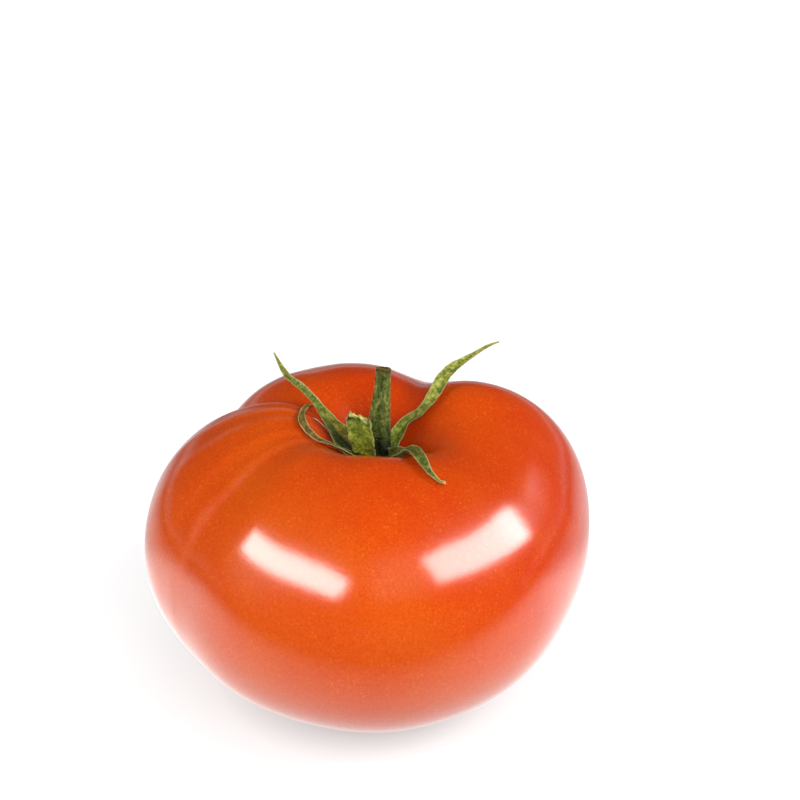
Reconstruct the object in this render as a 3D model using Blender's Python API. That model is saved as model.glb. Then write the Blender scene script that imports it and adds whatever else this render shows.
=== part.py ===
"""A ripe ribbed tomato resting on its blossom end, with its calyx and the stub of its stem.

Metres, +Z up. The origin is the middle of the flat spot that the fruit rests on, below the
fruit's own axis. The fruit's front is towards -Y. Lists of places and sizes are in millimetres
and are turned into metres where they are used.
"""

import math

import bpy
import numpy as np

MM = 0.001
# Neighbouring pieces keep this much air between them.
GAP = 0.3 * MM

# The fruit: a round body that is squarer above its equator than below it.
FRUIT_RADIUS = 43.7 * MM
SHOULDER_RISE = 31.0 * MM  # equator to crown, before the stem cavity sinks the crown
BELLY_DROP = 31.5 * MM  # equator to blossom end, before the flat spot cuts it
RESTING_CUT = 0.7 * MM  # how much of the blossom end the flat spot takes off
SHOULDER_FULLNESS = 2.3  # exponent of the outline: 2 is an ellipse, more is squarer
BELLY_FULLNESS = 1.87
# Slow waves round the fruit: waves in a turn, share of the radius, azimuth of a crest in degrees.
WAVES = ((2, 0.0066, 99.0), (3, 0.0064, 68.0))
# Furrows run from the cavity down the sides. A negative depth is a rib that stands proud.
# Azimuth, half width and reach (polar angle where it has faded by half) in degrees, depth in mm.
FURROWS = (
    (64.0, 18.0, 90.0, 3.3),
    (147.0, 12.0, 95.0, 3.7),
    (212.0, 16.0, 110.0, 1.9),
    (337.0, 18.0, 110.0, 2.0),
    (274.0, 20.0, 110.0, -2.0),
    (21.0, 18.0, 110.0, -3.5),
)
FURROW_START = 30.0  # polar angle in degrees over which a furrow deepens from the crown
FURROW_FADE = 12.0  # polar angle in degrees over which it dies away

# The stem cavity, a round hollow a little off the fruit's axis.
CAVITY_DEPTH = 12.5 * MM
CAVITY_RADIUS = 11.5 * MM
CAVITY_STEEPNESS = 2.2
CAVITY_X = 2.2 * MM
CAVITY_Y = -0.8 * MM

# The calyx base, a low domed collar on the floor of the cavity.
BASE_RADIUS = 3.6 * MM
BASE_RIM = 2.4 * MM  # height of its rim over the cavity floor
BASE_CROWN = 3.1 * MM  # height of its middle over the cavity floor

# The stem: x and y from the calyx base's axis, height over the calyx base and radius, in mm.
STEM = (
    (0.4, 0.3, 0.0, 2.0),
    (0.4, 0.8, 1.8, 1.8),
    (0.5, 1.3, 4.6, 1.75),
    (0.7, 1.9, 8.1, 1.7),
    (0.9, 2.8, 11.6, 1.55),
    (1.2, 3.8, 15.4, 1.4),
)
STEM_RIBS = 5
STEM_RIB_DEPTH = 0.12 * MM

# Sepals. Each grows from the collar's rim at an azimuth in degrees, with a foot of a width in mm.
# Its path then goes through x and y from the calyx base's axis, lift over the skin and width, in mm.
SEPAL_THICKNESS = 0.8 * MM
SEPAL_FOLD = 0.16  # how far a sepal's edges turn up, as a share of its width
SEPAL_EDGE = 0.5  # thickness at a sepal's edges, as a share of the thickness along its middle
SEPAL_SLIM = 0.4  # thickness where a sepal is thread thin, as a share of it where it is widest
FOOT_LIFT = 1.2 * MM  # height of a foot's middle over the skin
SEPALS = {
    "sepal_left": (
        168.0,
        2.0,
        (
            (-6.2, 1.1, 2.1, 4.6),
            (-8.5, 2.6, 2.0, 4.0),
            (-11.3, 4.3, 2.8, 1.9),
            (-15.5, 8.0, 4.4, 1.4),
            (-18.1, 10.3, 6.5, 1.2),
            (-20.0, 11.8, 11.2, 0.4),
        ),
    ),
    "sepal_curled": (
        212.0,
        1.0,
        (
            (-6.0, -3.7, 1.1, 1.2),
            (-8.4, -5.2, 1.0, 1.0),
            (-10.6, -6.2, 1.0, 0.9),
            (-13.2, -4.0, 1.1, 1.0),
            (-14.3, -1.0, 1.4, 1.3),
            (-13.6, 3.4, 1.3, 1.0),
            (-11.8, 8.0, 1.2, 0.5),
        ),
    ),
    "sepal_torn": (
        252.0,
        2.2,
        (
            (-2.2, -3.3, 4.5, 4.2),
            (-2.7, -3.0, 8.0, 4.5),
            (-3.2, -3.0, 10.9, 4.4),
        ),
    ),
    "sepal_right": (
        47.0,
        2.2,
        (
            (5.3, 4.6, 1.7, 2.5),
            (8.4, 4.8, 1.4, 2.1),
            (10.8, 6.4, 1.5, 2.3),
            (13.5, 10.7, 2.2, 3.3),
            (16.9, 14.8, 4.0, 1.8),
            (21.9, 16.8, 8.2, 0.7),
            (24.1, 17.3, 9.9, 0.4),
        ),
    ),
    "sepal_front": (
        325.0,
        2.2,
        (
            (4.5, -4.0, 2.8, 2.4),
            (5.9, -7.2, 1.9, 2.6),
            (6.6, -12.0, 1.5, 2.6),
            (7.2, -17.0, 1.3, 2.4),
            (8.7, -20.2, 1.2, 1.7),
            (10.6, -21.8, 1.0, 0.9),
            (12.1, -22.0, 1.0, 0.9),
        ),
    ),
}
# The torn sepal stands up and faces forward. The others face up.
SEPAL_FACING = {"sepal_torn": (-0.3, -1.0, 0.0)}

# Faces round the fruit, from crown to blossom end, and along and across the small pieces.
FRUIT_SIDES = 72
FRUIT_ROWS = 40
CROWN_CROWDING = 1.2  # over 1, rows are closer near the crown, where the cavity bends most
BASE_SIDES = 32
STEM_SIDES = 20
STEM_ROWS = 18
SEPAL_ROWS = 20
SEPAL_STRIPS = 4


def material(name, colour, roughness):
    made = bpy.data.materials.new(name)
    made.use_nodes = True
    shader = made.node_tree.nodes["Principled BSDF"]
    shader.inputs["Base Color"].default_value = (*colour, 1.0)
    shader.inputs["Roughness"].default_value = roughness
    shader.inputs["Metallic"].default_value = 0.0
    return made


def add_solid(name, points, faces, finish):
    mesh = bpy.data.meshes.new(name)
    mesh.from_pydata([tuple(point) for point in points], [], faces)
    mesh.materials.append(finish)
    mesh.shade_smooth()
    solid = bpy.data.objects.new(name, mesh)
    bpy.context.scene.collection.objects.link(solid)
    return solid


def rings_to_faces(rings, sides):
    """Quads between rings of points that run round +Z, each ring after the one above it."""
    quads = []
    for row in range(rings - 1):
        for side in range(sides):
            across = (side + 1) % sides
            upper, lower = row * sides, (row + 1) * sides
            quads.append((upper + side, lower + side, lower + across, upper + across))
    return quads


def fruit_surface(azimuth, polar):
    """Points of the skin. Both angles are in radians; polar is 0 at the crown and pi below.

    The distance from the middle is a superellipse's, less each furrow's depth. A furrow is a
    bell curve round the fruit that starts at the crown and fades below. The stem cavity then
    lowers the upper half by a bell curve of the distance from the cavity's axis.
    """
    below = 0.5 * (1 - np.cos(polar))
    fullness = SHOULDER_FULLNESS + (BELLY_FULLNESS - SHOULDER_FULLNESS) * below
    half_height = np.where(polar < math.pi / 2, SHOULDER_RISE, BELLY_DROP)
    radius = FRUIT_RADIUS * np.ones_like(azimuth)
    for count, share, crest in WAVES:
        radius = radius + FRUIT_RADIUS * share * np.cos(count * (azimuth - math.radians(crest)))
    out = (
        (np.abs(np.sin(polar)) / radius) ** fullness
        + (np.abs(np.cos(polar)) / half_height) ** fullness
    ) ** (-1 / fullness)
    degrees = np.degrees(polar)
    for middle, half_width, reach, depth in FURROWS:
        turn = azimuth - math.radians(middle)
        off = np.degrees(np.arctan2(np.sin(turn), np.cos(turn)))
        along = 1 - np.exp(-((degrees / FURROW_START) ** 2))
        along = along / (1 + np.exp((degrees - reach) / FURROW_FADE))
        out = out - depth * MM * np.exp(-((off / half_width) ** 2)) * along
    x = out * np.sin(polar) * np.cos(azimuth)
    y = out * np.sin(polar) * np.sin(azimuth)
    z = out * np.cos(polar)
    off_axis = np.hypot(x - CAVITY_X, y - CAVITY_Y) / CAVITY_RADIUS
    sunk = CAVITY_DEPTH * np.exp(-(off_axis**CAVITY_STEEPNESS))
    z = z - np.where(polar < math.pi / 2, sunk, 0.0)
    return x, y, np.maximum(z + BELLY_DROP - RESTING_CUT, 0.0)


def skin_height(x, y):
    """Height of the upper skin at one place, read along the meridian through it."""
    polar = np.radians(np.linspace(0.0, 80.0, 241))
    meridian_x, meridian_y, meridian_z = fruit_surface(
        np.full_like(polar, math.atan2(y, x)), polar
    )
    return float(np.interp(math.hypot(x, y), np.hypot(meridian_x, meridian_y), meridian_z))


def make_fruit():
    skin = material("tomato_skin", (0.80, 0.075, 0.012), 0.25)
    polar = math.pi * (np.arange(1, FRUIT_ROWS) / FRUIT_ROWS) ** CROWN_CROWDING
    azimuth = 2 * math.pi * np.arange(FRUIT_SIDES) / FRUIT_SIDES
    grid_azimuth, grid_polar = np.meshgrid(azimuth, polar)
    rings = np.stack(fruit_surface(grid_azimuth, grid_polar), axis=-1).reshape(-1, 3)
    ends = np.stack(fruit_surface(np.zeros(2), np.array([0.0, math.pi])), axis=-1)
    points = np.concatenate([rings, ends])
    faces = rings_to_faces(FRUIT_ROWS - 1, FRUIT_SIDES)
    crown, blossom = len(rings), len(rings) + 1
    last = (FRUIT_ROWS - 2) * FRUIT_SIDES
    for side in range(FRUIT_SIDES):
        across = (side + 1) % FRUIT_SIDES
        faces.append((crown, side, across))
        faces.append((blossom, last + across, last + side))
    return add_solid("fruit", points, faces, skin)


def make_calyx_base():
    """A collar whose underside follows the cavity floor and whose top is a low dome."""
    green = material("calyx_green", (0.16, 0.26, 0.04), 0.6)
    floor = skin_height(CAVITY_X, CAVITY_Y)
    shares = (1.0, 0.8, 0.4)  # of the radius, from the rim inwards
    domed = [(share, floor + BASE_CROWN - (BASE_CROWN - BASE_RIM) * share**2) for share in shares]
    # A ring with no height of its own lies along the cavity floor.
    rings = domed[::-1] + [(share, None) for share in shares]
    points = []
    for share, height in rings:
        for side in range(BASE_SIDES):
            turn = 2 * math.pi * side / BASE_SIDES
            x = CAVITY_X + BASE_RADIUS * share * math.cos(turn)
            y = CAVITY_Y + BASE_RADIUS * share * math.sin(turn)
            points.append((x, y, skin_height(x, y) + GAP if height is None else height))
    faces = rings_to_faces(len(rings), BASE_SIDES)
    last = (len(rings) - 1) * BASE_SIDES
    faces.append(tuple(range(BASE_SIDES)))
    faces.append(tuple(last + side for side in reversed(range(BASE_SIDES))))
    return add_solid("calyx_base", points, faces, green)


def smooth_rows(rows, count):
    """Rows of numbers read off a Catmull-Rom curve through the given rows, at even steps."""
    rows = np.array(rows, dtype=float)
    padded = np.concatenate([[2 * rows[0] - rows[1]], rows, [2 * rows[-1] - rows[-2]]])
    steps = np.linspace(0.0, len(rows) - 1.0, count)
    span = np.minimum(steps.astype(int), len(rows) - 2)
    along = (steps - span)[:, None]
    before, start, end, after = (padded[span + shift] for shift in range(4))
    return 0.5 * (
        2 * start
        + (end - before) * along
        + (2 * before - 5 * start + 4 * end - after) * along**2
        + (3 * start - before - 3 * end + after) * along**3
    )


def unit(vectors):
    return vectors / np.linalg.norm(vectors, axis=-1, keepdims=True)


def make_stem():
    """A ribbed round bar that thins upwards along its path, cut square at the top."""
    green = material("stem_green", (0.10, 0.17, 0.03), 0.65)
    foot = skin_height(CAVITY_X, CAVITY_Y) + BASE_CROWN + GAP
    rows = smooth_rows(STEM, STEM_ROWS) * MM
    path = rows[:, :3] + np.array([CAVITY_X, CAVITY_Y, foot])
    along = unit(np.gradient(path, axis=0))
    along[0] = (0.0, 0.0, 1.0)
    side_x = unit(np.cross((0.0, 1.0, 0.0), along))
    side_y = np.cross(along, side_x)
    turn = 2 * math.pi * np.arange(STEM_SIDES) / STEM_SIDES
    radius = rows[:, 3:] + STEM_RIB_DEPTH * np.cos(STEM_RIBS * turn)
    ring = (
        side_x[:, None, :] * (radius * np.cos(turn))[:, :, None]
        + side_y[:, None, :] * (radius * np.sin(turn))[:, :, None]
    )
    # The rings run from the top down, as rings_to_faces takes them.
    points = (path[:, None, :] + ring)[::-1].reshape(-1, 3)
    faces = rings_to_faces(STEM_ROWS, STEM_SIDES)
    last = (STEM_ROWS - 1) * STEM_SIDES
    faces.append(tuple(range(STEM_SIDES)))
    faces.append(tuple(last + side for side in reversed(range(STEM_SIDES))))
    return add_solid("stem", points, faces, green)


def make_sepal(name, green):
    """A folded blade: a strip carried along its path over the skin, with its edges turned up."""
    azimuth, foot_width, places = SEPALS[name]
    outward = np.array([math.cos(math.radians(azimuth)), math.sin(math.radians(azimuth)), 0.0])
    foot = (*((BASE_RADIUS + GAP) / MM * outward[:2]), FOOT_LIFT / MM, foot_width)
    rows = smooth_rows([foot, *places], SEPAL_ROWS) * MM
    path = rows[:, :3] + np.array([CAVITY_X, CAVITY_Y, 0.0])
    path[:, 2] += [skin_height(x, y) for x, y in path[:, :2]]
    along = unit(np.gradient(path, axis=0))
    # The foot's end is square to the collar's rim.
    along[0] = outward
    facing = np.array(SEPAL_FACING.get(name, (0.0, 0.0, 1.0)))
    across = unit(np.cross(along, facing))
    up = np.cross(across, along)
    offset = np.linspace(-1.0, 1.0, SEPAL_STRIPS + 1)
    width = rows[:, 3][:, None, None]
    middle = (
        path[:, None, :]
        + across[:, None, :] * (0.5 * width * offset[None, :, None])
        + up[:, None, :] * (SEPAL_FOLD * width * (offset[None, :, None] ** 2))
    )
    # The blade thins to its edges and to its tip, and never comes nearer the skin than GAP.
    half = 0.5 * SEPAL_THICKNESS * (1 - (1 - SEPAL_EDGE) * offset**2)[None, :, None]
    half = half * (SEPAL_SLIM + (1 - SEPAL_SLIM) * width / width.max())
    for row in middle:
        for point in row:
            lowest = skin_height(point[0], point[1]) + GAP + SEPAL_THICKNESS
            point[2] = max(point[2], lowest)
    upper = middle + up[:, None, :] * half
    lower = middle - up[:, None, :] * half
    rings = np.concatenate([lower, upper[:, ::-1]], axis=1)
    sides = rings.shape[1]
    points = rings.reshape(-1, 3)
    faces = rings_to_faces(SEPAL_ROWS, sides)
    last = (SEPAL_ROWS - 1) * sides
    faces.append(tuple(range(sides)))
    faces.append(tuple(last + side for side in reversed(range(sides))))
    return add_solid(name, points, faces, green)


def main():
    for old in list(bpy.data.objects):
        bpy.data.objects.remove(old, do_unlink=True)
    make_fruit()
    make_calyx_base()
    make_stem()
    sepal_green = material("sepal_green", (0.20, 0.30, 0.06), 0.55)
    for name in SEPALS:
        make_sepal(name, sepal_green)


main()
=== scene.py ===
"""A ripe ribbed tomato with its calyx and stem stub, on a pale studio floor.

Metres, +Z up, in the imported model's frame: the fruit rests on the origin and its front is
towards -Y. Lists of places and sizes are in millimetres and are turned into metres where used.
"""
import math

import bpy
import numpy as np
from mathutils import Matrix, Vector


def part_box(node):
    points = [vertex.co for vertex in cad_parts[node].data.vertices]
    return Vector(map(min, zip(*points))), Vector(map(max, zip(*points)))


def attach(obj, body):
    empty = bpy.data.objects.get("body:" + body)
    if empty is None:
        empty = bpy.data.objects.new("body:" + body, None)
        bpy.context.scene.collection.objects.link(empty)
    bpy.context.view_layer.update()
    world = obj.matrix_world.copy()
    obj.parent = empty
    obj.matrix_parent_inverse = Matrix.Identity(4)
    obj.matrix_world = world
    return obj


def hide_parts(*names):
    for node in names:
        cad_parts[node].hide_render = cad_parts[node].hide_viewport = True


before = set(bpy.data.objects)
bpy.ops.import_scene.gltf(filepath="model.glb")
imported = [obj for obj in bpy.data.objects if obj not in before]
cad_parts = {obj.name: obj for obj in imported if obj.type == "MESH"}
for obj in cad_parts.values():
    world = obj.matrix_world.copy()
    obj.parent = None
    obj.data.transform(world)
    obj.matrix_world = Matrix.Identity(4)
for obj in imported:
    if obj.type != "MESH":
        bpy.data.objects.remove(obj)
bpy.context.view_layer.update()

# ------------------------------------------------------------------------------------------
# Fruit skin. The berry is one grown body: a thin, waxy, glossy skin tight over red flesh.
# It is squarer at the shoulders than below, ribbed by the seed chambers inside, sunk round
# the stalk, and flecked with gold where the flesh shows through thin spots of the skin.
# ------------------------------------------------------------------------------------------
MM = 0.001
fruit_low, fruit_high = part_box("fruit")
fruit_width = fruit_high.x - fruit_low.x
fruit_height = fruit_high.z - fruit_low.z
skin_radius = 0.4964 * fruit_width
equator = 0.5060 * fruit_height  # height of the widest level over the floor
shoulder_rise = 0.5093 * fruit_height  # from the equator up to the crown, before it is sunk
belly_drop = 0.5175 * fruit_height  # past the floor, which cuts off the flat resting spot
SHOULDER_FULLNESS = 2.3  # exponent of the outline: 2 is an ellipse, more is squarer
BELLY_FULLNESS = 1.87
# Slow waves round the fruit: waves in a turn, share of the radius, azimuth of a crest.
WAVES = ((2, 0.0066, 99.0), (3, 0.0064, 68.0))
# Furrows between the ribs, and ribs as negative furrows: azimuth, half width and reach (the
# polar angle where one has faded by half) in degrees, then depth in millimetres.
FURROWS = (
    (64.0, 18.0, 90.0, 3.3),
    (147.0, 12.0, 95.0, 3.7),
    (212.0, 16.0, 110.0, 1.9),
    (333.0, 18.0, 110.0, 1.4),
    (274.0, 20.0, 110.0, -2.0),
    (21.0, 18.0, 110.0, -3.5),
)
FURROW_START = 30.0  # degrees from the crown by which a furrow has mostly set in
FURROW_FADE = 12.0  # degrees over which it dies away
# Fine ridges over the shoulders, in the same terms.
RIDGES = (
    (209.0, 3.4, 84.0, -0.26),
    (198.0, 3.4, 54.0, -0.20),
    (186.0, 3.0, 50.0, -0.18),
    (173.0, 2.8, 56.0, -0.26),
    (163.0, 2.2, 48.0, -0.28),
    (232.0, 4.0, 45.0, -0.12),
    (252.0, 3.5, 40.0, -0.10),
    (290.0, 4.0, 42.0, -0.10),
    (312.0, 3.6, 48.0, -0.12),
    (350.0, 4.0, 50.0, -0.12),
    (10.0, 3.4, 52.0, -0.12),
    (34.0, 3.6, 50.0, -0.12),
    (82.0, 3.4, 55.0, -0.15),
    (101.0, 3.8, 50.0, -0.14),
    (123.0, 3.4, 52.0, -0.14),
)
# Painted reflection: pale streaks that stand in for a soft reflection on the shoulders. Azimuth
# in degrees from +X, half width in degrees, lowest and highest place in millimetres, and strength.
PAINTED_REFLECTION_STREAKS = (
    (-148.0, 3.0, 26.0, 60.0, 0.15),
    (-176.0, 3.5, 46.0, 61.0, 0.18),
    (172.0, 3.5, 50.0, 63.0, 0.26),
    (162.0, 2.5, 50.0, 63.0, 0.30),
)
base_low, base_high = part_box("calyx_base")
base_x, base_y = (base_low.x + base_high.x) / 2, (base_low.y + base_high.y) / 2
CAVITY_DEPTH = 12.5 * MM
CAVITY_RADIUS = 11.5 * MM
CAVITY_STEEPNESS = 2.2  # exponent of the hollow's bell curve: 2 is the plain one
SKIN_SIDES, SKIN_ROWS = 384, 236
CROWN_CROWDING = 1.2  # rows are closer together near the crown, where the hollow bends most


def skin_surface(azimuth, polar):
    """Points of the skin; polar is 0 at the crown and pi at the blossom end.

    The distance from the middle is a superellipse's, less the depth of each furrow, which is
    a bell curve round the fruit that starts at the crown and dies away below. The hollow
    round the stalk then lowers the upper half by a bell curve of the distance from its axis.
    """
    below = 0.5 * (1 - np.cos(polar))
    fullness = SHOULDER_FULLNESS + (BELLY_FULLNESS - SHOULDER_FULLNESS) * below
    half_height = np.where(polar < math.pi / 2, shoulder_rise, belly_drop)
    radius = skin_radius * np.ones_like(azimuth)
    for count, share, crest in WAVES:
        radius = radius + skin_radius * share * np.cos(count * (azimuth - math.radians(crest)))
    out = (
        (np.abs(np.sin(polar)) / radius) ** fullness
        + (np.abs(np.cos(polar)) / half_height) ** fullness
    ) ** (-1 / fullness)
    degrees = np.degrees(polar)
    for middle, half_width, reach, depth in FURROWS + RIDGES:
        turn = azimuth - math.radians(middle)
        off = np.degrees(np.arctan2(np.sin(turn), np.cos(turn)))
        along = (1 - np.exp(-((degrees / FURROW_START) ** 2))) / (
            1 + np.exp((degrees - reach) / FURROW_FADE)
        )
        out = out - depth * MM * np.exp(-((off / half_width) ** 2)) * along
    x = out * np.sin(polar) * np.cos(azimuth)
    y = out * np.sin(polar) * np.sin(azimuth)
    off_axis = np.hypot(x - base_x, y - base_y) / CAVITY_RADIUS
    sunk = np.where(polar < math.pi / 2, CAVITY_DEPTH * np.exp(-(off_axis**CAVITY_STEEPNESS)), 0.0)
    return x, y, np.maximum(out * np.cos(polar) - sunk + equator, 0.0)


def body_from_rings(name, rings):
    """A closed mesh from rings of points that run round +Z, each below the one before it.

    Quads join ring to ring, and a fan of triangles joins each end ring to its middle.
    """
    rows, sides = rings.shape[:2]
    ends = np.stack([rings[0].mean(axis=0), rings[-1].mean(axis=0)])
    points = np.concatenate([rings.reshape(-1, 3), ends])
    here = np.arange(rows * sides).reshape(rows, sides)
    across = np.roll(here, -1, axis=1)
    quads = np.stack([here[:-1], here[1:], across[1:], across[:-1]], axis=-1).reshape(-1, 4)
    top = np.stack([np.full(sides, rows * sides), here[0], across[0]], axis=-1)
    bottom = np.stack([np.full(sides, rows * sides + 1), across[-1], here[-1]], axis=-1)
    mesh = bpy.data.meshes.new(name)
    mesh.from_pydata(points.tolist(), [], quads.tolist() + top.tolist() + bottom.tolist())
    mesh.shade_smooth()
    made = bpy.data.objects.new(name, mesh)
    bpy.context.scene.collection.objects.link(made)
    return made


def add_node(tree, kind, sockets=None, **settings):
    """A shader node with its settings, each socket given a value or linked to an output."""
    node = tree.nodes.new(kind)
    for setting, value in settings.items():
        setattr(node, setting, value)
    for socket, value in (sockets or {}).items():
        if isinstance(value, bpy.types.NodeSocket):
            tree.links.new(value, node.inputs[socket])
        else:
            node.inputs[socket].default_value = value
    return node


def new_finish(name):
    """A new material, its node tree, its main shader and the places over the object."""
    made = bpy.data.materials.new(name)
    made.use_nodes = True
    tree = made.node_tree
    place = add_node(tree, "ShaderNodeTexCoord").outputs["Object"]
    return made, tree, tree.nodes["Principled BSDF"], place


def ramp(tree, factor, stops):
    """The colour output of a ramp over factor; each stop is a place and a colour or a grey."""
    node = add_node(tree, "ShaderNodeValToRGB", {0: factor})
    while len(node.color_ramp.elements) < len(stops):
        node.color_ramp.elements.new(0.5)
    for element, (place, colour) in zip(node.color_ramp.elements, stops):
        element.position = place
        element.color = (*colour, 1.0) if isinstance(colour, tuple) else (colour,) * 3 + (1.0,)
    return node.outputs["Color"]


def mix(tree, factor, first, second, blend="MIX"):
    """The colour output of a mix of two colours, each a triple or another node's output."""
    node = add_node(tree, "ShaderNodeMix", data_type="RGBA", blend_type=blend, clamp_factor=True)
    for place, value in ((0, factor), (6, first), (7, second)):
        if isinstance(value, bpy.types.NodeSocket):
            tree.links.new(value, node.inputs[place])
        else:
            node.inputs[place].default_value = (*value, 1.0) if place else value
    return node.outputs[2]


def noise(tree, coordinates, scale, detail=3.0, roughness=0.5):
    """The value of a noise over the coordinates, of that many waves to the metre."""
    sockets = {"Vector": coordinates, "Scale": scale, "Detail": detail, "Roughness": roughness}
    return add_node(tree, "ShaderNodeTexNoise", sockets).outputs["Fac"]


def reckon(tree, operation, *values):
    """A sum or other piece of arithmetic on one or two values."""
    return add_node(tree, "ShaderNodeMath", dict(enumerate(values)), operation=operation).outputs[0]


def how_far(tree, place, middle=(0.0, 0.0, 0.0)):
    """The distance of a place from a middle, in metres."""
    sockets = {0: place, 1: middle}
    return add_node(tree, "ShaderNodeVectorMath", sockets, operation="DISTANCE").outputs["Value"]


def stretch(tree, value, low, high, to_low=0.0, to_high=1.0, kind="LINEAR"):
    """A value from the range low to high, moved to the range to_low to to_high."""
    sockets = {"Value": value, "From Min": low, "From Max": high, "To Min": to_low}
    sockets["To Max"] = to_high
    node = add_node(tree, "ShaderNodeMapRange", sockets, interpolation_type=kind)
    return node.outputs["Result"]


def dots(tree, place, scale, stops):
    """A ramp by distance from scattered points, of that many to the metre along a line."""
    node = add_node(tree, "ShaderNodeTexVoronoi", {"Vector": place, "Scale": scale}, feature="F1")
    return ramp(tree, node.outputs["Distance"], stops)


def skin_finish():
    """Waxy red skin with patches, gold flecks, a blossom scar, painted pale reflection streaks and
    painted shade in the hollow.
    """
    made, tree, shader, place = new_finish("ripe_skin")
    patches = noise(tree, place, 34.0, 2.0)
    flesh = ramp(
        tree,
        patches,
        (
            (0.34, (0.41, 0.026, 0.0012)),
            (0.52, (0.43, 0.037, 0.0017)),
            (0.68, (0.44, 0.052, 0.0024)),
        ),
    )
    cloud = ramp(tree, noise(tree, place, 160.0, 4.0, 0.6), ((0.40, 0.0), (0.75, 0.5)))
    flesh = mix(tree, cloud, flesh, (0.46, 0.050, 0.0022))
    # Gold shows through more on the left side and low down.
    golden = add_node(
        tree, "ShaderNodeVectorMath", {0: place, 1: (-0.6, -0.35, -0.7)}, operation="DOT_PRODUCT"
    ).outputs["Value"]
    golden = stretch(tree, golden, -0.055, 0.020, 0.0, 0.5, "SMOOTHSTEP")
    flesh = mix(tree, golden, flesh, (0.43, 0.068, 0.0032))
    grain = noise(tree, place, 2300.0, 2.0, 0.75)
    grain = ramp(tree, grain, ((0.36, (0.90, 0.86, 0.80)), (0.64, (1.08, 1.18, 1.25))))
    flesh = mix(tree, 1.0, flesh, grain, "MULTIPLY")
    # Fine flecks and coarser spots of gold, thicker in some places than in others.
    where = ramp(tree, noise(tree, place, 260.0, 2.0), ((0.40, 0.25), (0.62, 1.0)))
    flecks = dots(tree, place, 1900.0, ((0.10, 0.22), (0.36, 0.0)))
    spots = dots(tree, place, 950.0, ((0.10, 0.22), (0.32, 0.0)))
    for marks, gold in ((flecks, (0.60, 0.15, 0.012)), (spots, (0.64, 0.17, 0.014))):
        flesh = mix(tree, mix(tree, 1.0, marks, where, "MULTIPLY"), flesh, gold)
    # The dry brown scar that the flower left underneath, in a paler ring.
    ragged = reckon(tree, "MULTIPLY", noise(tree, place, 700.0), 0.0022)
    from_scar = reckon(tree, "ADD", how_far(tree, place), ragged)
    pale_ring = ramp(tree, from_scar, ((0.004, 0.45), (0.009, 0.0)))
    flesh = mix(tree, pale_ring, flesh, (0.50, 0.16, 0.02))
    scar = ramp(tree, from_scar, ((0.0026, 0.95), (0.0032, 0.0)))
    flesh = mix(tree, scar, flesh, (0.10, 0.05, 0.02))
    # Pale streaks of painted reflection run down from the hollow. They wander a little and are
    # broken.
    axes = add_node(tree, "ShaderNodeSeparateXYZ", {0: place})
    around = reckon(tree, "ARCTAN2", axes.outputs["Y"], axes.outputs["X"])
    wander = stretch(tree, noise(tree, place, 90.0), 0.0, 1.0, -0.05, 0.05)
    around = reckon(tree, "ADD", around, wander)
    broken = ramp(tree, noise(tree, place, 150.0, 2.0), ((0.36, 0.30), (0.58, 1.0)))
    for degrees, half_width, lowest, highest, strength in PAINTED_REFLECTION_STREAKS:
        from_line = reckon(tree, "SUBTRACT", around, math.radians(degrees))
        from_line = reckon(tree, "ABSOLUTE", from_line)
        reflection_streak = ramp(tree, from_line, ((0.0, strength), (math.radians(half_width), 0.0)))
        up_side = stretch(tree, axes.outputs["Z"], lowest * MM, highest * MM)
        up_side = ramp(tree, up_side, ((0.0, 0.0), (0.3, 1.0), (0.8, 1.0), (1.0, 0.2)))
        reflection_streak = mix(tree, 1.0, reflection_streak, up_side, "MULTIPLY")
        reflection_streak = mix(tree, 1.0, reflection_streak, broken, "MULTIPLY")
        flesh = mix(tree, reflection_streak, flesh, (0.60, 0.20, 0.12))
    # Painted shade: the skin is darker and redder where it turns down under the calyx.
    to_stalk = how_far(tree, place, (base_x, base_y, base_high.z))
    stalk_painted_shade = ramp(tree, to_stalk, ((0.004, (0.62, 0.42, 0.40)), (0.011, (1.0, 1.0, 1.0))))
    flesh = mix(tree, 1.0, flesh, stalk_painted_shade, "MULTIPLY")
    tree.links.new(flesh, shader.inputs["Base Color"])
    shader.inputs["Roughness"].default_value = 0.16
    shader.inputs["IOR"].default_value = 1.45
    pores = noise(tree, place, 1300.0, 3.0, 0.6)
    heights = {"Height": pores, "Strength": 0.12, "Distance": 0.00012}
    bump = add_node(tree, "ShaderNodeBump", heights)
    tree.links.new(bump.outputs["Normal"], shader.inputs["Normal"])
    return made


polar = math.pi * (np.arange(1, SKIN_ROWS) / SKIN_ROWS) ** CROWN_CROWDING
azimuth = 2 * math.pi * np.arange(SKIN_SIDES) / SKIN_SIDES
grid_azimuth, grid_polar = np.meshgrid(azimuth, polar)
fruit_skin = body_from_rings(
    "fruit_skin", np.stack(skin_surface(grid_azimuth, grid_polar), axis=-1)
)
fruit_skin.data.materials.append(skin_finish())
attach(fruit_skin, "root")
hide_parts("fruit")

# ------------------------------------------------------------------------------------------
# Calyx collar. The green disc at the bottom of the hollow, grown to the fruit, from which
# the stalk and the sepals grow. It swells a little towards each sepal.
# ------------------------------------------------------------------------------------------
collar_radius = (base_high.x - base_low.x) / 2
collar_top = base_high.z
COLLAR_SIDES = 96
# Azimuths in degrees where the sepals grow from it. It swells there by a share of its radius.
SEPAL_FEET = (168.0, 212.0, 252.0, 47.0, 325.0)
SWELL_HALF_WIDTH = 16.0  # degrees
SWELL_SHARE = 0.10
COLLAR_GAP = 0.1 * MM  # between the collar's underside and the skin
STEEPEST_POLAR = math.radians(80.0)  # where the search for a place on the upper skin ends
HALVINGS = 26


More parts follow.
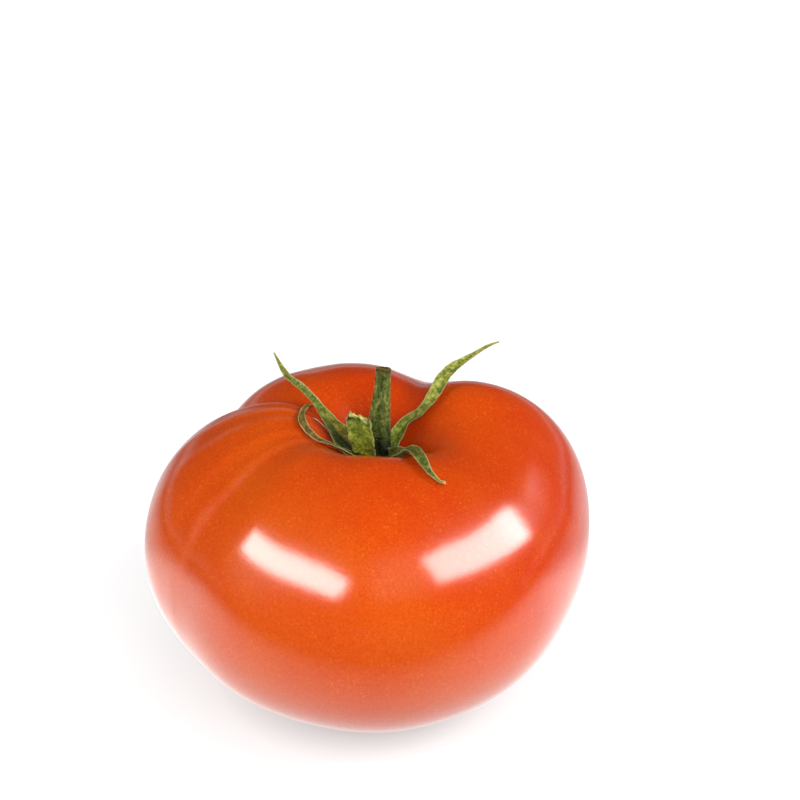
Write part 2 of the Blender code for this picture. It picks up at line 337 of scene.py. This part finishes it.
def skin_height(x, y):
    """Height of the upper skin over places x, y.

    The polar angle where the meridian is as far from the axis as the place is found by halving.
    """
    azimuth, reach = np.arctan2(y, x), np.hypot(x, y)
    near, far = np.zeros_like(reach), np.full_like(reach, STEEPEST_POLAR)
    for _ in range(HALVINGS):
        middle = (near + far) / 2
        there_x, there_y, _ = skin_surface(azimuth, middle)
        beyond = np.hypot(there_x, there_y) > reach
        near, far = np.where(beyond, near, middle), np.where(beyond, middle, far)
    return skin_surface(azimuth, (near + far) / 2)[2]


def green_finish(name, stops, along=None, margin=None, across=None, across_until=0.0):
    """A downy green: a noise ramp of greens with fine pale speckle and a rough grain.

    along is a ramp of tints from foot to tip, by the V of the UV map, and across one from side
    to side, by U, which is gone past across_until. margin colours a thin line at the edges.
    """
    made, tree, shader, place = new_finish(name)
    leaf = ramp(tree, noise(tree, place, 950.0, 6.0, 0.72), stops)
    speckle = ramp(tree, noise(tree, place, 2600.0, 2.0, 0.7), ((0.54, 0.0), (0.70, 0.35)))
    leaf = mix(tree, speckle, leaf, mix(tree, 0.4, leaf, (0.42, 0.48, 0.12)))
    uv = add_node(tree, "ShaderNodeSeparateXYZ", {0: place.node.outputs["UV"]})
    if along:
        leaf = mix(tree, 1.0, leaf, ramp(tree, uv.outputs["Y"], along), "MULTIPLY")
    if across:
        inner = stretch(tree, uv.outputs["Y"], across_until * 0.7, across_until, 1.0, 0.0)
        tinted = mix(tree, 1.0, leaf, ramp(tree, uv.outputs["X"], across), "MULTIPLY")
        leaf = mix(tree, inner, leaf, tinted)
    if margin:
        inward = add_node(tree, "ShaderNodeAttribute", attribute_name="from_edge").outputs["Fac"]
        inward = reckon(tree, "MULTIPLY", inward, noise(tree, place, 900.0, 3.0))
        leaf = mix(tree, ramp(tree, inward, ((0.03, 0.55), (0.10, 0.0))), leaf, margin)
    tree.links.new(leaf, shader.inputs["Base Color"])
    shader.inputs["Roughness"].default_value = 0.6
    shader.inputs["Specular IOR Level"].default_value = 0.12
    grain = noise(tree, place, 1400.0, 5.0, 0.75)
    bump = add_node(tree, "ShaderNodeBump", {"Height": grain, "Strength": 0.9, "Distance": 0.0004})
    tree.links.new(bump.outputs["Normal"], shader.inputs["Normal"])
    return made


turn = 2 * math.pi * np.arange(COLLAR_SIDES) / COLLAR_SIDES
from_feet = turn - np.radians(SEPAL_FEET)[:, None]
from_feet = np.degrees(np.arctan2(np.sin(from_feet), np.cos(from_feet)))
swell = np.exp(-((from_feet / SWELL_HALF_WIDTH) ** 2)).sum(axis=0)
# From the middle of the dome out to the rim and back under: share of the radius, and how far
# down from the dome's top to the skin the ring lies.
COLLAR_PROFILE = (
    (0.15, 0.0),
    (0.40, 0.03),
    (0.62, 0.10),
    (0.80, 0.20),
    (0.93, 0.36),
    (1.00, 0.58),
    (0.98, 0.80),
    (0.88, 0.96),
    (0.40, 1.00),
)
collar_rings = []
for share, down in COLLAR_PROFILE:
    radius = collar_radius * share * (1 + SWELL_SHARE * share * swell)
    x, y = base_x + radius * np.cos(turn), base_y + radius * np.sin(turn)
    underside = skin_height(x, y) + COLLAR_GAP
    height = collar_top + (underside - collar_top) * down
    collar_rings.append(np.stack([x, y, height], axis=-1))
collar = body_from_rings("calyx_collar", np.array(collar_rings))
# The collar's greens are nearly black: painted shade, deep in the hollow under the sepals.
COLLAR_PAINTED_SHADE_GREENS = ((0.30, (0.006, 0.008, 0.002)), (0.70, (0.030, 0.034, 0.007)))
collar.data.materials.append(green_finish("collar_green", COLLAR_PAINTED_SHADE_GREENS))
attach(collar, "root")
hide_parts("calyx_base")

# ------------------------------------------------------------------------------------------
# Stem stub. The end of the green stalk, ribbed and grooved along its length and covered in
# short down. It grows from the collar, flares at its foot and is cut off square.
# ------------------------------------------------------------------------------------------
# x and y from the collar's axis, height over the collar's top and radius.
STEM_PATH = (
    (0.2, 0.1, -1.2, 2.9),
    (0.35, 0.3, 0.2, 2.3),
    (0.3, 0.8, 1.8, 2.2),
    (0.35, 1.3, 4.6, 2.1),
    (0.6, 1.9, 8.1, 1.85),
    (0.9, 2.8, 11.6, 1.55),
    (1.2, 3.8, 15.6, 1.45),
)
STEM_ROWS, STEM_SIDES = 140, 72
GROOVE_WANDER = 5.0  # degrees to either side
BARK_BUMPS = 0.05 * MM
# Grooves down the stem: azimuth in degrees round it, half width in degrees, depth.
STEM_GROOVES = (
    (262.0, 13.0, 0.55),
    (318.0, 10.0, 0.20),
    (205.0, 12.0, 0.24),
    (20.0, 14.0, 0.25),
    (90.0, 15.0, 0.30),
    (150.0, 11.0, 0.22),
)


def smooth_rows(rows, count):
    """Rows of numbers read off a Catmull-Rom curve through the given rows, at even steps."""
    rows = np.array(rows, dtype=float)
    padded = np.concatenate([[2 * rows[0] - rows[1]], rows, [2 * rows[-1] - rows[-2]]])
    steps = np.linspace(0.0, len(rows) - 1.0, count)
    span = np.minimum(steps.astype(int), len(rows) - 2)
    along = (steps - span)[:, None]
    before, start, end, after = (padded[span + shift] for shift in range(4))
    return 0.5 * (
        2 * start
        + (end - before) * along
        + (2 * before - 5 * start + 4 * end - after) * along**2
        + (3 * start - before - 3 * end + after) * along**3
    )


def unit(vectors):
    """The vectors at length 1."""
    return vectors / np.linalg.norm(vectors, axis=-1, keepdims=True)


def rings_round(path, radius, turn):
    """Rings square to a path that runs upwards, from its top down, and the path's directions."""
    along = unit(np.gradient(path, axis=0))
    side_x = unit(np.cross((0.0, 1.0, 0.0), along))
    side_y = np.cross(along, side_x)
    ring = (
        side_x[:, None, :] * (radius * np.cos(turn))[:, :, None]
        + side_y[:, None, :] * (radius * np.sin(turn))[:, :, None]
    )
    return (path[:, None, :] + ring)[::-1], along


rows = smooth_rows(STEM_PATH, STEM_ROWS) * MM
path = rows[:, :3] + np.array([base_x, base_y, collar_top])
turn = 2 * math.pi * np.arange(STEM_SIDES) / STEM_SIDES
up_stem = np.linspace(0.0, 1.0, STEM_ROWS)[:, None]
radius = rows[:, 3:] * np.ones_like(turn)
for middle, half_width, depth in STEM_GROOVES:
    off = turn - math.radians(middle)
    off = np.degrees(np.arctan2(np.sin(off), np.cos(off)))
    off = off + GROOVE_WANDER * np.sin(6.0 * up_stem + middle)
    radius = radius - depth * MM * np.exp(-((off / half_width) ** 2))
radius = radius + BARK_BUMPS * np.sin(9 * turn + 17 * up_stem) * np.sin(31 * up_stem + 2 * turn)
stem_rings, along = rings_round(path, radius, turn)
# The cut end, where the outer bark stands a little over the softer middle: share of the
# radius, and rise over the end of the path.
CUT_END = ((0.35, -0.28), (0.60, -0.26), (0.74, -0.10), (0.86, 0.05), (0.95, 0.02))
cut_rings = [
    path[-1] + share * (stem_rings[0] - path[-1]) + along[-1] * rise * MM
    for share, rise in CUT_END
]
stem = body_from_rings("stem_stub", np.concatenate([np.array(cut_rings), stem_rings]))
STEM_GREENS = (
    (0.36, (0.012, 0.018, 0.002)),
    (0.50, (0.060, 0.076, 0.009)),
    (0.64, (0.200, 0.220, 0.045)),
)
# From foot to top: nearly black low in the hollow, which is painted shade, green above, and a brown
# rim at the cut.
STEM_SHADE_AND_TINTS = (
    (0.0, (0.03, 0.04, 0.04)),
    (0.26, (0.05, 0.07, 0.05)),
    (0.44, (0.28, 0.34, 0.22)),
    (0.64, (1.0, 1.0, 0.9)),
    (0.955, (0.9, 0.9, 0.9)),
    (0.985, (0.55, 0.30, 0.25)),
)


def map_rings(body, across, along):
    """A UV map for a body made from rings, given U by side and V by ring."""
    rows, sides = len(along), len(across)
    by_point = np.empty((rows * sides + 2, 2))
    by_point[:-2] = np.stack(np.meshgrid(across, along), axis=-1).reshape(-1, 2)
    by_point[-2:] = (0.5, along[0]), (0.5, along[-1])
    corners = np.empty(len(body.data.loops), np.int32)
    body.data.loops.foreach_get("vertex_index", corners)
    body.data.uv_layers.new(name="UVMap").data.foreach_set("uv", by_point[corners].ravel())


stem_rows = np.concatenate([np.ones(len(CUT_END)), np.linspace(1.0, 0.0, STEM_ROWS)])
map_rings(stem, np.linspace(0.0, 1.0, STEM_SIDES), stem_rows)
stem.data.materials.append(green_finish("stem_green", STEM_GREENS, along=STEM_SHADE_AND_TINTS))
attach(stem, "root")
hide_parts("stem")

# ------------------------------------------------------------------------------------------
# Sepals. Five narrow green leaves, the dried remains of the flower's cup. Each grows from the
# collar, is folded along its midrib, has a pale thin margin, and thins to a thread at its tip.
# ------------------------------------------------------------------------------------------
SEPAL_ROWS, SEPAL_STRIPS = 130, 20
SEPAL_THICKNESS = 0.45 * MM  # of the widest place, at the midrib
SEPAL_GAP = 0.25 * MM  # the least between a blade and the skin
RAGGED_WAVES = (23.0, 41.0, 67.0, 109.0)  # in the margins, in radians over the length
RAGGED_SHARE = 0.022  # of the width, for each of them
TEAR_START = 0.62  # share of the torn sepal's length
UPWARDS = (0.0, 0.0, 1.0)
# Each sepal: the way its upper side faces, its fold (how far its edges turn up, as a share of
# its width), then rows from foot to tip of x and y from the collar's axis, lift over the skin,
# width and roll (degrees that the blade is turned about its path, its right side upwards).
SEPALS = {
    "sepal_left": (
        UPWARDS,
        0.46,
        (
            (-1.2, -2.4, 1.5, 3.4, 10),
            (-3.4, -2.6, 1.9, 4.8, 22),
            (-6.3, -0.7, 2.1, 5.0, 26),
            (-9.0, 1.4, 2.2, 2.7, 22),
            (-12.0, 3.9, 2.7, 1.75, 10),
            (-15.8, 7.8, 4.4, 1.6, 0),
            (-18.1, 10.3, 6.5, 1.3, 0),
            (-20.0, 11.8, 11.2, 0.35, 0),
        ),
    ),
    "sepal_curled": (
        UPWARDS,
        0.20,
        (
            (-2.2, -1.6, 1.4, 1.8, 0),
            (-6.0, -3.7, 1.1, 1.5, 0),
            (-8.4, -5.2, 1.0, 1.3, 0),
            (-10.6, -6.2, 1.0, 1.1, 10),
            (-13.2, -4.0, 1.1, 1.3, 20),
            (-14.3, -1.0, 1.4, 1.5, 25),
            (-13.6, 3.4, 1.3, 1.1, 10),
            (-11.8, 8.0, 1.2, 0.4, 0),
        ),
    ),
    "sepal_torn": (
        (-0.30, -1.0, 0.0),
        0.14,
        (
            (-1.3, -1.4, 1.2, 2.8, 0),
            (-2.2, -2.1, 3.0, 3.9, 0),
            (-2.8, -2.7, 5.0, 4.7, 0),
            (-3.1, -2.8, 7.4, 4.9, 0),
            (-3.5, -2.6, 9.4, 4.8, 0),
            (-3.6, -2.9, 10.2, 4.7, 0),
            (-3.7, -3.6, 10.1, 4.5, 0),
        ),
    ),
    "sepal_right": (
        UPWARDS,
        0.24,
        (
            (1.5, -0.4, 1.8, 3.2, 0),
            (3.0, 2.0, 2.0, 3.3, 0),
            (5.3, 4.6, 1.8, 2.6, -8),
            (8.4, 4.8, 1.5, 2.2, -14),
            (10.8, 6.4, 1.5, 2.4, -6),
            (13.5, 10.7, 2.2, 2.9, 0),
            (16.9, 14.8, 4.0, 2.1, 6),
            (21.9, 16.8, 8.2, 0.9, 0),
            (24.1, 17.3, 9.9, 0.3, 0),
        ),
    ),
    "sepal_front": (
        UPWARDS,
        0.26,
        (
            (1.6, -1.3, 1.8, 3.3, -42),
            (3.0, -2.9, 2.0, 3.4, -40),
            (4.1, -5.4, 1.7, 3.3, -32),
            (5.1, -8.6, 1.1, 3.0, -20),
            (6.2, -12.4, 1.1, 2.7, -8),
            (7.5, -17.0, 1.3, 2.2, 0),
            (8.9, -20.2, 1.1, 1.5, 0),
            (10.7, -21.8, 0.9, 0.7, 0),
            (11.6, -22.0, 0.9, 0.9, 0),
            (12.1, -22.0, 0.9, 0.6, 0),
        ),
    ),
}


def sepal_blade(name):
    """A folded blade carried along a path over the skin.

    Across it, the upper side rises with the square of the distance from the midrib, less a
    narrow groove along the midrib and two fainter ones beside it. The margins wave a little,
    and the blade thins to them and to its tip.
    """
    facing, fold, places = SEPALS[name]
    rows = smooth_rows(places, SEPAL_ROWS)
    path = rows[:, :3] * MM + np.array([base_x, base_y, 0.0])
    path[:, 2] += skin_height(path[:, 0], path[:, 1])
    along = unit(np.gradient(path, axis=0))
    across = unit(np.cross(along, facing))
    up = np.cross(across, along)
    roll = np.radians(rows[:, 4:])
    across, up = (
        across * np.cos(roll) + up * np.sin(roll),
        up * np.cos(roll) - across * np.sin(roll),
    )
    offset = np.linspace(-1.0, 1.0, SEPAL_STRIPS + 1)
    round_edge = np.concatenate([offset, offset[::-1]])
    width = rows[:, 3:4] * MM
    steps = np.linspace(0.0, 1.0, SEPAL_ROWS)[:, None]
    seed = float(sum(map(ord, name)))
    ragged = 1 + sum(
        RAGGED_SHARE * np.sin(waves * steps + seed * waves + 1.3 * np.sign(offset))
        for waves in RAGGED_WAVES
    )
    grooves = np.exp(-((offset / 0.14) ** 2)) + 0.5 * np.exp(-(((abs(offset) - 0.5) / 0.1) ** 2))
    rise = fold * width * offset**2 - 0.05 * width * grooves
    rise = rise + 0.05 * width * offset**3 * np.sin(31 * steps + seed)
    middle = (
        path[:, None, :]
        + across[:, None, :] * (0.5 * width * ragged * offset)[:, :, None]
        + up[:, None, :] * rise[:, :, None]
    )
    if name == "sepal_torn":
        # The tear slants: its left side is left standing and hooks over.
        torn = np.clip((steps - TEAR_START) / (1 - TEAR_START), 0.0, 1.0) ** 2
        middle[:, :, 2] += torn * (0.8 * offset + 0.25 * np.sin(9 * offset)) * MM
        hook = np.clip(-offset - 0.6, 0.0, 1.0) * torn
        middle += np.array([1.4, -1.0, 2.0]) * MM * 1.6 * hook[:, :, None]
    half = 0.5 * SEPAL_THICKNESS * (1 - 0.75 * offset**2) * (0.35 + 0.65 * width / width.max())
    lowest = skin_height(middle[:, :, 0], middle[:, :, 1]) + SEPAL_GAP + half
    middle[:, :, 2] = np.maximum(middle[:, :, 2], lowest)
    upper = middle + up[:, None, :] * half[:, :, None]
    lower = middle - up[:, None, :] * half[:, :, None]
    blade = body_from_rings(name + "_blade", np.concatenate([lower, upper[:, ::-1]], axis=1))
    map_rings(blade, round_edge * 0.5 + 0.5, steps.ravel())
    # How far each point is in from the nearer margin, in millimetres.
    inward = 0.5 * width * (1 - np.abs(round_edge)) / MM
    edge = blade.data.attributes.new("from_edge", "FLOAT", "POINT")
    edge.data.foreach_set("value", np.concatenate([inward.ravel(), [1.0, 1.0]]))
    return blade


SEPAL_GREENS = (
    (0.36, (0.035, 0.052, 0.004)),
    (0.50, (0.120, 0.142, 0.016)),
    (0.64, (0.280, 0.300, 0.065)),
)
DRY_GREENS = (
    (0.36, (0.035, 0.022, 0.003)),
    (0.50, (0.105, 0.070, 0.008)),
    (0.64, (0.240, 0.180, 0.035)),
)
CREAM = (0.46, 0.41, 0.18)
WHITE = (1.0, 1.0, 1.0)
# Tints from foot to tip of each sepal, which multiply its greens. The darker feet of the curled,
# right and front sepals, low in the hollow, are painted shade.
sepal_finishes = {
    "sepal_left": green_finish(
        "left_green",
        SEPAL_GREENS,
        along=((0.0, (0.9, 0.9, 0.9)), (0.7, WHITE), (1.0, (1.2, 1.1, 1.0))),
        margin=CREAM,
        # Across its foot half: a pale margin, painted shade inside the folded trough, and an
        # olive-brown far side.
        across=(
            (0.10, (0.60, 0.70, 0.50)),
            (0.20, (0.10, 0.14, 0.12)),
            (0.52, (0.10, 0.14, 0.12)),
            (0.66, (1.70, 1.15, 0.60)),
            (0.95, (1.70, 1.45, 0.80)),
        ),
        across_until=0.52,
    ),
    "sepal_curled": green_finish(
        "curled_green",
        DRY_GREENS,
        along=((0.0, (0.45, 0.34, 0.25)), (0.45, (0.70, 0.56, 0.45)), (0.75, WHITE)),
        margin=CREAM,
    ),
    "sepal_torn": green_finish(
        "torn_green",
        SEPAL_GREENS,
        along=(
            (0.0, (1.2, 1.0, 0.5)),
            (0.40, (1.35, 1.35, 0.8)),
            (0.68, (0.9, 1.0, 0.9)),
            (0.89, (1.0, 1.05, 1.1)),
            (0.96, (3.4, 3.2, 6.0)),
        ),
        margin=CREAM,
    ),
    "sepal_right": green_finish(
        "right_green",
        SEPAL_GREENS,
        along=(
            (0.06, (0.45, 0.62, 0.45)),
            (0.22, (0.95, 0.98, 0.80)),
            (0.38, (1.45, 1.35, 1.4)),
            (0.85, (1.55, 1.45, 1.5)),
            (1.0, (2.2, 1.8, 2.5)),
        ),
        margin=CREAM,
    ),
    "sepal_front": green_finish(
        "front_green",
        SEPAL_GREENS,
        along=(
            (0.0, (0.5, 0.55, 0.5)),
            (0.26, (0.62, 0.58, 0.45)),
            (0.50, (0.60, 0.58, 0.45)),
            (0.80, (0.85, 0.85, 0.75)),
            (0.94, (2.8, 2.0, 2.6)),
        ),
        margin=CREAM,
    ),
}
sepals = {}
for name, finish in sepal_finishes.items():
    sepals[name] = sepal_blade(name)
    sepals[name].data.materials.append(finish)
    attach(sepals[name], "root")
    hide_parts(name)

# ------------------------------------------------------------------------------------------
# Thread. A dry stamen of the old flower, a pale, hair-thin stalk of straw colour. It lies
# over the skin of the hollow, between the curled sepal and the left one.
# ------------------------------------------------------------------------------------------
THREAD_ROWS, THREAD_SIDES = 24, 8
# x and y from the collar's axis, lift over the skin and radius.
THREAD_PATH = (
    (-12.4, 2.0, 0.5, 0.03),
    (-11.6, 1.5, 1.0, 0.07),
    (-10.6, 0.9, 1.2, 0.07),
    (-9.4, 0.4, 0.9, 0.04),
)
rows = smooth_rows(THREAD_PATH, THREAD_ROWS) * MM
path = rows[:, :3] + np.array([base_x, base_y, 0.0])
path[:, 2] += skin_height(path[:, 0], path[:, 1])
turn = 2 * math.pi * np.arange(THREAD_SIDES) / THREAD_SIDES
thread = body_from_rings("dry_thread", rings_round(path, rows[:, 3:], turn)[0])
THREAD_COLOURS = ((0.36, (0.30, 0.20, 0.07)), (0.64, (0.62, 0.50, 0.26)))
thread.data.materials.append(green_finish("thread_straw", THREAD_COLOURS))
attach(thread, "root")

# ------------------------------------------------------------------------------------------
# Down. The stem and the sepals are covered in short, stiff, pale hairs, denser on the stem.
# Each hair is a thin three-sided spine that stands nearly square to the surface.
# ------------------------------------------------------------------------------------------
HAIR_RADIUS = 0.03 * MM
SHORTEST_HAIR = 0.4  # share of the longest
HAIR_LEAN = 0.35  # spread of the lean away from the surface's normal
DOWN_RISE = 5.0 * MM  # over which the down thickens, from the collar up
HOLLOW_SHARE = 0.05  # of the full down, low in the hollow
draw = np.random.default_rng(11)


def down(name, bodies, per_square_mm, longest):
    """Spines on randomly drawn faces of the bodies, as many as their area calls for.

    Each is three points round its root and one at its tip, which leans a random way.
    """
    roots, normals = [], []
    for body in bodies:
        faces = body.data.polygons
        area = np.empty(len(faces))
        middle = np.empty(len(faces) * 3)
        normal = np.empty(len(faces) * 3)
        faces.foreach_get("area", area)
        faces.foreach_get("center", middle)
        faces.foreach_get("normal", normal)
        # Few hairs grow low down in the hollow.
        area *= np.clip((middle[2::3] - collar_top) / DOWN_RISE, HOLLOW_SHARE, 1.0)
        wanted = int(area.sum() / MM**2 * per_square_mm)
        chosen = draw.choice(len(faces), wanted, p=area / area.sum())
        roots.append(middle.reshape(-1, 3)[chosen])
        normals.append(normal.reshape(-1, 3)[chosen])
    roots, normals = np.concatenate(roots), np.concatenate(normals)
    count = len(roots)
    lean = unit(normals + draw.normal(0.0, HAIR_LEAN, (count, 3)))
    length = longest * MM * draw.uniform(SHORTEST_HAIR, 1.0, (count, 1))
    side = unit(np.cross(lean, draw.normal(0.0, 1.0, (count, 3))))
    other = np.cross(lean, side)
    turns = np.radians([0.0, 120.0, 240.0])
    base = roots[:, None, :] + HAIR_RADIUS * (
        np.cos(turns)[None, :, None] * side[:, None, :]
        + np.sin(turns)[None, :, None] * other[:, None, :]
    )
    tip = roots + lean * length
    points = np.concatenate([base, tip[:, None, :]], axis=1).reshape(-1, 3)
    first = 4 * np.arange(count)[:, None]
    spine = np.array([(0, 1, 3), (1, 2, 3), (2, 0, 3), (2, 1, 0)])
    faces = (first[:, None] + spine[None]).reshape(-1, 3)
    mesh = bpy.data.meshes.new(name)
    mesh.from_pydata(points.tolist(), [], faces.tolist())
    made = bpy.data.objects.new(name, mesh)
    bpy.context.scene.collection.objects.link(made)
    return made


HAIR_COLOURS = ((0.35, (0.13, 0.17, 0.03)), (0.65, (0.38, 0.40, 0.13)))
hair_finish, hair_tree, hair_shader, hair_place = new_finish("pale_down")
hair_colour = ramp(hair_tree, noise(hair_tree, hair_place, 400.0), HAIR_COLOURS)
hair_tree.links.new(hair_colour, hair_shader.inputs["Base Color"])
hair_shader.inputs["Roughness"].default_value = 0.6
hair_shader.inputs["Specular IOR Level"].default_value = 0.2
# The name, the bodies it grows on, hairs to the square millimetre, longest hair and slot.
HAIRY = (
    ("stem_down", [stem], 6.0, 0.45, "stem_green"),
    ("sepal_down", list(sepals.values()), 2.0, 0.34, "sepal_green"),
)
for name, bodies, density, longest, slot in HAIRY:
    hairs = down(name, bodies, density, longest)
    hairs.data.materials.append(hair_finish)
    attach(hairs, "root")

# ------------------------------------------------------------------------------------------
# Studio floor. A pale, glowing table, shaded where the fruit stands by its real shadow and by
# painted shadow where its glow fades. The wax mirrors a lit pool round the fruit that is far
# brighter than the table looks, so a glowing sheet lies on the table, and only reflections see it.
# ------------------------------------------------------------------------------------------
FLOOR_REACH = 3.0
FLOOR_DROP = -0.02 * MM
SHEET_DROP = -0.01 * MM
# How much the table and the sheet shine, by distance from the origin in metres. The table's
# glow fades to nothing under the fruit as a painted shadow. The sheet has shade under the fruit,
# then the pool, a dark table and a pale far wall.
FLOOR_GLOW_AND_PAINTED_SHADOW = (
    (0.004, 0.0),
    (0.014, 0.30),
    (0.030, 0.68),
    (0.055, 0.78),
    (0.10, 0.82),
    (0.26, 0.92),
    (0.45, 0.98),
)
POOL_SHINE = (
    (0.02, 0.38),
    (0.055, 0.74),
    (0.13, 0.86),
    (0.20, 0.60),
    (0.32, 0.06),
    (0.55, 0.03),
    (0.9, 0.3),
)
POOL_RADIANCE = 2.7
BEHIND_SHARE = (0.42, 0.42, 0.42)  # of the pool that is left behind the fruit
BACK_GLOW = (0.11, 0.11, 0.11)  # of the far table, for the pale line on the fruit's upper rim
BLACK = (0.0, 0.0, 0.0)


def flat_square(name, reach, height):
    """A level square about the origin, at a height, and its finish's tree, shader and places."""
    mesh = bpy.data.meshes.new(name)
    corners = [(-reach, -reach), (reach, -reach), (reach, reach), (-reach, reach)]
    mesh.from_pydata([(x, y, height) for x, y in corners], [], [(0, 1, 2, 3)])
    made = bpy.data.objects.new(name, mesh)
    bpy.context.scene.collection.objects.link(made)
    finish, tree, shader, place = new_finish(name + "_finish")
    made.data.materials.append(finish)
    return made, tree, shader, place


floor, floor_tree, floor_shader, floor_place = flat_square("studio_floor", FLOOR_REACH, FLOOR_DROP)
floor_shader.inputs["Base Color"].default_value = (0.26, 0.26, 0.26, 1.0)
floor_shader.inputs["Roughness"].default_value = 0.9
floor_shader.inputs["Specular IOR Level"].default_value = 0.0
floor_shader.inputs["Emission Color"].default_value = (1.0, 1.0, 1.0, 1.0)
# The table's own glow keeps it as pale far from the lights as near them, and its fading under the
# fruit is a painted shadow.
floor_glow = ramp(floor_tree, how_far(floor_tree, floor_place), FLOOR_GLOW_AND_PAINTED_SHADOW)
floor_tree.links.new(floor_glow, floor_shader.inputs["Emission Strength"])
floor.visible_glossy = False

glow, glow_tree, unused_shader, spot = flat_square("mirrored_pool", FLOOR_REACH, SHEET_DROP)
glow_tree.nodes.remove(unused_shader)
depth = add_node(glow_tree, "ShaderNodeSeparateXYZ", {0: spot}).outputs["Y"]
# The pool is dark at the front of the table and weaker behind the fruit, and the far table
# shines a little again.
pool = ramp(glow_tree, how_far(glow_tree, spot), POOL_SHINE)
past_front = stretch(glow_tree, depth, -0.130, -0.035, kind="SMOOTHSTEP")
past_fruit = stretch(glow_tree, depth, 0.015, 0.055, kind="SMOOTHSTEP")
far_away = stretch(glow_tree, depth, 0.15, 0.50, kind="SMOOTHSTEP")
strength = mix(glow_tree, 1.0, pool, past_front, "MULTIPLY")
behind = mix(glow_tree, past_fruit, WHITE, BEHIND_SHARE)
strength = mix(glow_tree, 1.0, strength, behind, "MULTIPLY")
strength = mix(glow_tree, 1.0, strength, mix(glow_tree, far_away, BLACK, BACK_GLOW), "ADD")
light = add_node(glow_tree, "ShaderNodeEmission", {"Color": strength, "Strength": POOL_RADIANCE})
glow_tree.links.new(light.outputs[0], glow_tree.nodes["Material Output"].inputs["Surface"])
for ray in ("camera", "diffuse", "transmission", "shadow"):
    setattr(glow, "visible_" + ray, False)

# ------------------------------------------------------------------------------------------
# Studio lights. Two long soft boxes give the bright bars on the wax. Four broad, weaker
# lights, which the wax doesn't mirror, light the fruit from the front, both sides and behind.
# ------------------------------------------------------------------------------------------
fruit_middle = Vector((0.0, 0.0, equator))
LIGHT_DISTANCE = 0.8  # metres
# Azimuth from +Y towards +X and elevation in degrees, width and height in metres, roll in
# degrees, radiance, and the kind of ray that misses the light.
SOFT_BOXES = {
    "left_bar": (-121.8, 35.0, (0.79, 0.215), -3.0, 23.0, "diffuse"),
    "right_bar": (95.2, 31.0, (0.91, 0.28), -20.0, 20.0, "diffuse"),
    "front_fill": (160.0, 41.0, (0.60, 0.40), 0.0, 10.7, "glossy"),
    "left_fill": (-108.0, 22.0, (0.50, 0.40), 0.0, 8.6, "glossy"),
    "right_fill": (98.0, 34.0, (0.50, 0.40), 0.0, 7.0, "glossy"),
    "back_fill": (25.0, 2.0, (0.60, 0.40), 0.0, 4.2, "glossy"),
}


def soft_box(name, azimuth, elevation, size, roll, radiance, hidden_from):
    """A rectangular light that is aimed at the fruit's middle from a fixed distance."""
    a, e = math.radians(azimuth), math.radians(elevation)
    towards = Vector((math.sin(a) * math.cos(e), math.cos(a) * math.cos(e), math.sin(e)))
    level = Vector((0.0, 0.0, 1.0)).cross(towards).normalized()
    axes = Matrix((level, towards.cross(level), towards)).transposed()
    light = bpy.data.lights.new(name, "AREA")
    light.shape = "RECTANGLE"
    light.size, light.size_y = size
    light.energy = radiance * math.pi * size[0] * size[1]
    made = bpy.data.objects.new(name, light)
    made.matrix_world = (
        Matrix.Translation(fruit_middle + towards * LIGHT_DISTANCE)
        @ axes.to_4x4()
        @ Matrix.Rotation(math.radians(roll), 4, "Z")
    )
    made.visible_camera = False
    setattr(made, "visible_" + hidden_from, False)
    bpy.context.scene.collection.objects.link(made)


for name, settings in SOFT_BOXES.items():
    soft_box(name, *settings)

# The room is dim, and the camera sees it white.
world = bpy.data.worlds.new("studio_room")
bpy.context.scene.world = world
world.use_nodes = True
sky = world.node_tree
direction = add_node(sky, "ShaderNodeTexCoord").outputs["Generated"]
height = add_node(sky, "ShaderNodeSeparateXYZ", {0: direction}).outputs["Z"]
room = ramp(sky, height, ((0.0, 0.30), (0.06, 0.08), (0.40, 0.05), (1.0, 0.05)))
seen = add_node(sky, "ShaderNodeLightPath").outputs["Is Camera Ray"]
backdrop = mix(sky, seen, room, WHITE)
sky.links.new(backdrop, sky.nodes["Background"].inputs["Color"])

# ------------------------------------------------------------------------------------------
# Camera. A portrait lens on a full frame, a little over four fruit widths away and well
# above the fruit, which stands below the middle of the picture.
# ------------------------------------------------------------------------------------------
lens = bpy.data.cameras.new("portrait_lens")
lens.lens = 85.0
lens.sensor_width = 36.0
lens.clip_start, lens.clip_end = 0.01, 20.0
camera = bpy.data.objects.new("portrait_camera", lens)
CAMERA_ELEVATION = math.radians(33.0)  # of the line from the fruit's middle to the camera
CAMERA_TILT = math.radians(90.0 - 28.73)  # the lens points 28.73 degrees below level
CAMERA_TURN = math.radians(-0.995)  # the fruit stands a little left of the middle
CAMERA_SHIFT = 0.001  # to the right
camera_distance = 4.25 * fruit_width
back = -camera_distance * math.cos(CAMERA_ELEVATION)
up = camera_distance * math.sin(CAMERA_ELEVATION)
camera.location = fruit_middle + Vector((CAMERA_SHIFT, back, up))
camera.rotation_euler = (CAMERA_TILT, 0.0, CAMERA_TURN)
bpy.context.scene.collection.objects.link(camera)
bpy.context.scene.camera = camera
bpy.context.scene.view_settings.view_transform = "Standard"
